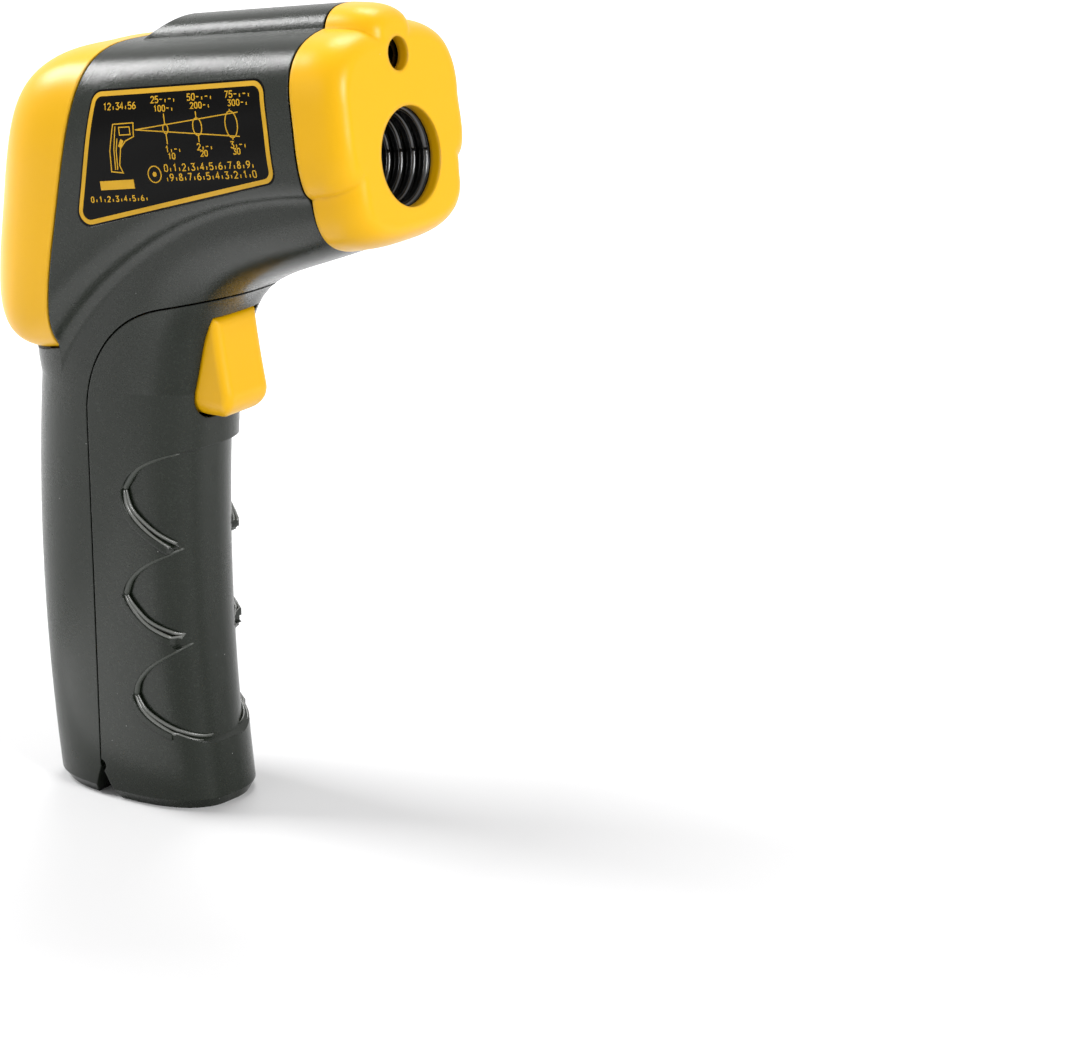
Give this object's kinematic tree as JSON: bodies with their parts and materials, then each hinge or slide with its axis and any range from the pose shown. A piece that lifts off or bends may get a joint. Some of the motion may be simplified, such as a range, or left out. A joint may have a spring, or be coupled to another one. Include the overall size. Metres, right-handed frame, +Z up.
{
  "type": "infrared thermometer",
  "caption": "Pistol-grip infrared thermometer with a baffled lens bore, laser, display, keys, trigger and a hinged battery door in the grip.",
  "frame": {"origin": "on the floor, in the middle of the foot of the grip, in the plane of symmetry", "axes": "+Z up along the grip, +X forward to the nose, +Y to the thermometer's left"},
  "size_m": [0.0899, 0.0424, 0.1597],
  "materials": {
    "housing_grey": "satin fine-textured ABS",
    "trim_yellow": "satin moulded ABS",
    "panel_black": "printed film",
    "tube_black": "moulded, glossy",
    "window_clear": "clear acrylic",
    "lcd_glass": "liquid crystal glass",
    "diffuser_white": "translucent",
    "rubber_grey": "silicone",
    "board_green": "solder mask",
    "chip_black": "moulded epoxy",
    "steel": "bright",
    "brass": "turned",
    "lens_dark": "coated germanium-like",
    "lens_clear": "polished acrylic",
    "cell_wrap": "printed sleeve, bare"
  },
  "bodies": {
    "housing": {"housing_right": "housing_grey", "housing_left": "housing_grey", "nose_bezel": "trim_yellow", "rear_bezel": "trim_yellow", "label_right": "panel_black", "label_left": "panel_black", "face_panel": "panel_black", "display_window": "window_clear", "lcd_panel": "lcd_glass", "backlight_diffuser": "diffuser_white", "contact_strips": "rubber_grey", "main_board": "board_green", "board_screws": "steel", "board_chips": "chip_black", "buzzer": "chip_black", "key_switches": "chip_black", "lens_tube_upper": "tube_black", "lens_tube_lower": "tube_black", "infrared_lens": "lens_dark", "thermopile_sensor": "steel", "sensor_board": "board_green", "laser_module": "brass", "laser_lens": "lens_clear", "laser_holder": "tube_black", "laser_board": "board_green", "housing_screws": "steel", "door_hinge_pin": "steel", "trigger_switch": "chip_black", "trigger_board": "board_green", "battery_tray": "tube_black", "battery_cells": "cell_wrap", "battery_contacts": "steel", "battery_springs": "steel"},
    "door": {"battery_door": "housing_grey", "trigger_pin": "steel", "trigger_spring": "steel"},
    "trigger": {"trigger": "trim_yellow"},
    "plunger": {"switch_plunger": "diffuser_white"},
    "left_key": {"left_key": "rubber_grey", "left_key_plunger": "chip_black"},
    "middle_key": {"middle_key": "rubber_grey", "middle_key_plunger": "chip_black"},
    "right_key": {"right_key": "rubber_grey", "right_key_plunger": "chip_black"}
  },
  "joints": [
    {"name": "battery_door_hinge", "type": "hinge", "parent": "housing", "child": "door", "pos_m": [-0.0033, 0, 0.0065], "axis": [0, 1, 0], "range_deg": [0, 38]},
    {"name": "trigger_pull", "type": "hinge", "parent": "door", "child": "trigger", "pos_m": [0.0176, 0, 0.0962], "axis": [0, 1, 0], "range_deg": [0, 5], "stiffness_Nm_per_rad": 0.4, "springref_deg": -2.86, "deforming": ["trigger_spring"]},
    {"name": "switch_plunger_slide", "type": "slide", "parent": "housing", "child": "plunger", "axis": [-1, 0, 0], "range_m": [0, 0.0011]},
    {"name": "left_key_press", "type": "slide", "parent": "housing", "child": "left_key", "axis": [0.9907, 0, -0.1357], "range_m": [0, 0.0003], "stiffness_N_per_m": 3000, "springref_m": -0.0001},
    {"name": "middle_key_press", "type": "slide", "parent": "housing", "child": "middle_key", "axis": [0.9907, 0, -0.1357], "range_m": [0, 0.0003], "stiffness_N_per_m": 3000, "springref_m": -0.0001},
    {"name": "right_key_press", "type": "slide", "parent": "housing", "child": "right_key", "axis": [0.9907, 0, -0.1357], "range_m": [0, 0.0003], "stiffness_N_per_m": 3000, "springref_m": -0.0001}
  ],
  "couplings": [
    {"joint": "switch_plunger_slide", "follows": "trigger_pull", "m_per_rad": 0.0125}
  ]
}
